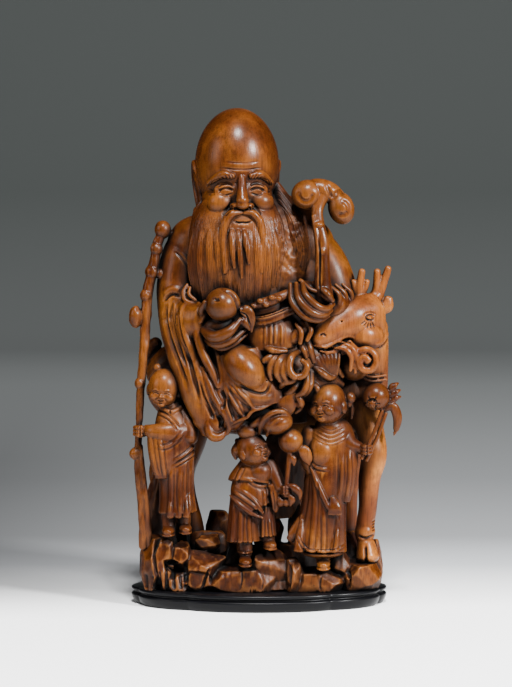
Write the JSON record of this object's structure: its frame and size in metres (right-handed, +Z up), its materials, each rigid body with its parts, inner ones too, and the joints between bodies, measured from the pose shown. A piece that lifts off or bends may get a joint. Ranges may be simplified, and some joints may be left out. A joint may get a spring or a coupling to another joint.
{
  "type": "shou lao figure",
  "caption": "Carved wood group of an old man of long life riding a deer, with boys, peaches and rockwork, on a lobed stand.",
  "frame": {"origin": "centre of the stand's underside", "axes": "+Z up, the figures look along -Y, +X to the right of the view"},
  "size_m": [0.1598, 0.0875, 0.29],
  "materials": {
    "carved_wood": "warm reddish brown, oiled, satin gloss, dark in the recesses",
    "dark_wood": "nearly black, polished"
  },
  "bodies": {
    "root": {"carving": "carved_wood", "stand": "dark_wood"}
  },
  "joints": []
}
